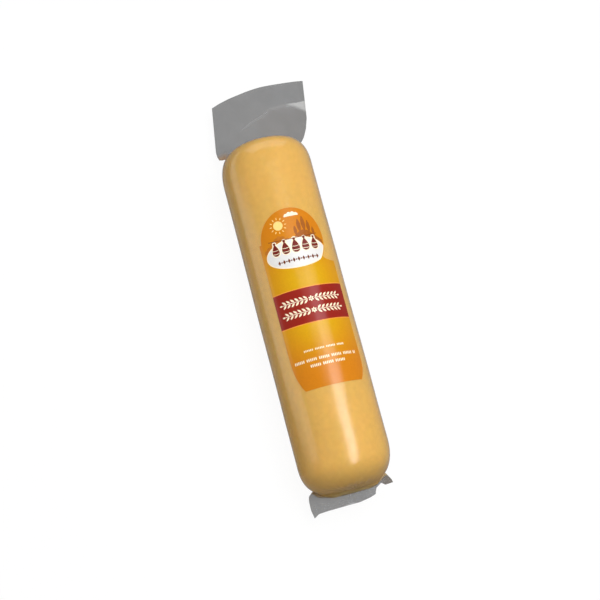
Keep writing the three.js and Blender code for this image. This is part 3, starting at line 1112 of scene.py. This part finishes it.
def band(inks):
    """The dark band with a line along each edge and two rows of laurel."""
    left = BAND["side_gap"] - LABEL_LEFT[-1][1]
    right = LABEL_RIGHT[-1][1] - BAND["side_gap"]

    def stripe(low, high):
        return [(left, low), (right, low), (right, high), (left, high)]

    curved_patch("label_band", [stripe(BAND["low"], BAND["high"])], 1, inks["red"])
    lines = [stripe(low, low + BAND["line"]) for low in (BAND["low"] - BAND["line"], BAND["high"])]
    curved_patch("label_band_lines", lines, 1, inks["line"])
    outlines = []
    for middle in BAND["rows"]:
        outlines += laurel(1, middle) + laurel(-1, middle)
        outlines += rayed(leaf(*FLOWER["petal"]), (0, middle), FLOWER["gap"], FLOWER["petals"], math.pi / 2)
    curved_patch("label_laurels", outlines, 2, inks["cream"])


def lower_rows(inks):
    """Rows of small upright marks with a gap here and there, where a pack has its small print."""
    outlines = []
    for row in LOWER_ROWS:
        half_axes = (MARK["width_share"] * row["pitch"], row["height"] / 2)
        count = round(2 * row["half_width"] / row["pitch"])
        for i in range(count):
            if i % (MARK["in_a_row"] + 1) < MARK["in_a_row"]:
                across = -row["half_width"] + row["pitch"] * (i + 0.5)
                outlines.append(ellipse((across, row["middle"]), half_axes, MARK["steps"]))
    curved_patch("label_small_marks", outlines, 1, inks["cream"])


def label():
    """The label's paper, its inks and all that is printed on it."""
    curved_patch("label_ground", [label_loop()], 0, (label_finish(), "label_orange"))
    inks = {}
    for name, (colour, variation, slot) in INKS.items():
        finish = Finish("label_" + name + "_ink")
        add_satin_print(finish, colour, variation)
        inks[name] = (finish.material, slot)
    countryside(inks)
    plaque(inks)
    band(inks)
    lower_rows(inks)


# --- Studio ---


def studio_finish(name, paint, glow):
    """Matt grey paint that also glows white."""
    finish = Finish(name)
    finish.set(Base_Color=(paint, paint, paint), Roughness=0.9, Specular_IOR_Level=0)
    finish.set(Emission_Color=(1, 1, 1), Emission_Strength=glow)
    return finish.material


def stage_piece(name, mesh, material):
    """A piece of the studio, which isn't part of the object."""
    piece = new_object(name, mesh, material)
    return piece


def sheet(name, rows, material, glows=()):
    """A sheet through rows of equally many points, with a glow at each point if one is given."""
    points = [point for row in rows for point in row]
    width = len(rows[0])
    faces = [
        (start, start + 1, start + width + 1, start + width)
        for row in range(len(rows) - 1)
        for start in range(row * width, row * width + width - 1)
    ]
    mesh = mesh_from(name, points, faces, {"glow": glows} if glows else {})
    return stage_piece(name, mesh, material)


def backdrop():
    """A white dome that only the camera sees, so that the background is as pale as the floor."""
    form = bmesh.new()
    around, upward = DOME["segments"]
    bmesh.ops.create_uvsphere(form, u_segments=around, v_segments=upward, radius=DOME["radius"] * MM)
    below = [vertex for vertex in form.verts if vertex.co.z < -FLOOR["gap"] * MM]
    bmesh.ops.delete(form, geom=below, context="VERTS")
    mesh = bpy.data.meshes.new("backdrop")
    form.to_mesh(mesh)
    form.free()
    dome = stage_piece("backdrop", mesh, studio_finish("backdrop", DOME["paint"], DOME["glow"]))
    dome.visible_diffuse = False
    dome.visible_glossy = False
    dome.visible_shadow = False


def reflected_card(name, rows, glows, colour=(1, 1, 1)):
    """A card that only shows as a reflection in the film, with a glow at each of its points."""
    finish = Finish(name)
    finish.set(Base_Color=(0, 0, 0), Emission_Color=colour, Specular_IOR_Level=0)
    finish.feed("Emission Strength", finish.attribute("glow"))
    card = sheet(name, rows, finish.material, glows)
    card.visible_camera = False
    card.visible_diffuse = False
    card.visible_shadow = False
    card.visible_transmission = False


def over_log(x, angle, distance):
    """A place at a distance from the log's axis, at an angle to the right of straight up."""
    turn = math.radians(angle)
    return (x, -distance * math.sin(turn), AXIS_HEIGHT + distance * math.cos(turn))


def key_light(x, angle, distance, size, energy):
    """The soft light over the log, which faces it."""
    data = bpy.data.lights.new("key", "AREA")
    data.shape = "RECTANGLE"
    data.size = size[0] * MM
    data.size_y = size[1] * MM
    data.energy = energy
    light = bpy.data.objects.new("key", data)
    bpy.context.scene.collection.objects.link(light)
    facing = Matrix.Rotation(math.radians(angle), 4, "X")
    light.matrix_world = Matrix.Translation(Vector(over_log(x, angle, distance)) * MM) @ facing
    light.visible_camera = False
    light.visible_glossy = False


def top_card():
    """The card that makes the long highlight on the film, dark at its edges."""
    rows = []
    glows = []
    for x, left, right, glow in TOP_CARD:
        soft = TOP_CARD_SOFT_EDGE
        angles = (left - soft, left + soft, right - soft, right + soft)
        rows.append([over_log(x, angle, TOP_CARD_DISTANCE) for angle in angles])
        glows += [0, glow, glow, 0]
    reflected_card("top_card", rows, glows, TOP_CARD_COLOUR)


def side_card():
    rows = [[(x, y, z) for x, _ in SIDE_CARD["glow"]] for y, z, _ in SIDE_CARD["profile"]]
    glows = [glow * share for _, _, share in SIDE_CARD["profile"] for _, glow in SIDE_CARD["glow"]]
    reflected_card("side_card", rows, glows)


def end_card():
    rows = [[(END_CARD["x"], y, z) for y in END_CARD["sides"]] for z in END_CARD["heights"]]
    reflected_card("end_card", rows, [END_CARD["glow"]] * 4)


def studio():
    reach = FLOOR["reach"]
    rows = [[(-reach, y, -FLOOR["gap"]), (reach, y, -FLOOR["gap"])] for y in (-reach, reach)]
    floor = sheet("floor", rows, studio_finish("floor", FLOOR["paint"], FLOOR["glow"]))
    floor.visible_glossy = False
    backdrop()
    top_card()
    side_card()
    end_card()
    world = bpy.data.worlds.new("studio")
    world.use_nodes = True
    world.node_tree.nodes["Background"].inputs["Color"].default_value = (1, 1, 1, 1)
    world.node_tree.nodes["Background"].inputs["Strength"].default_value = WORLD_STRENGTH
    bpy.context.scene.world = world
    key_light(**KEY)


def camera():
    data = bpy.data.cameras.new("camera")
    data.lens = CAMERA_LENS
    data.sensor_width = CAMERA_SENSOR
    data.clip_start, data.clip_end = CAMERA_CLIP
    view = bpy.data.objects.new("camera", data)
    bpy.context.scene.collection.objects.link(view)
    back = Vector((
        -math.sin(CAMERA_TILT),
        math.cos(CAMERA_TILT) * math.sin(CAMERA_SIDE),
        math.cos(CAMERA_TILT) * math.cos(CAMERA_SIDE),
    ))
    right = Vector((1, 0, 0)).cross(back).normalized()
    up = back.cross(right)
    level = Matrix((right, up, back)).transposed()
    place = Vector(CAMERA_TARGET) + back * CAMERA_DISTANCE
    turned = Matrix.Rotation(CAMERA_ROLL, 3, back) @ level
    view.matrix_world = Matrix.Translation(place * MM) @ turned.to_4x4()
    bpy.context.scene.camera = view


camera()
studio()
bpy.context.scene.view_settings.view_transform = "Standard"
cheese_body()
film_skin()
tails()
label()
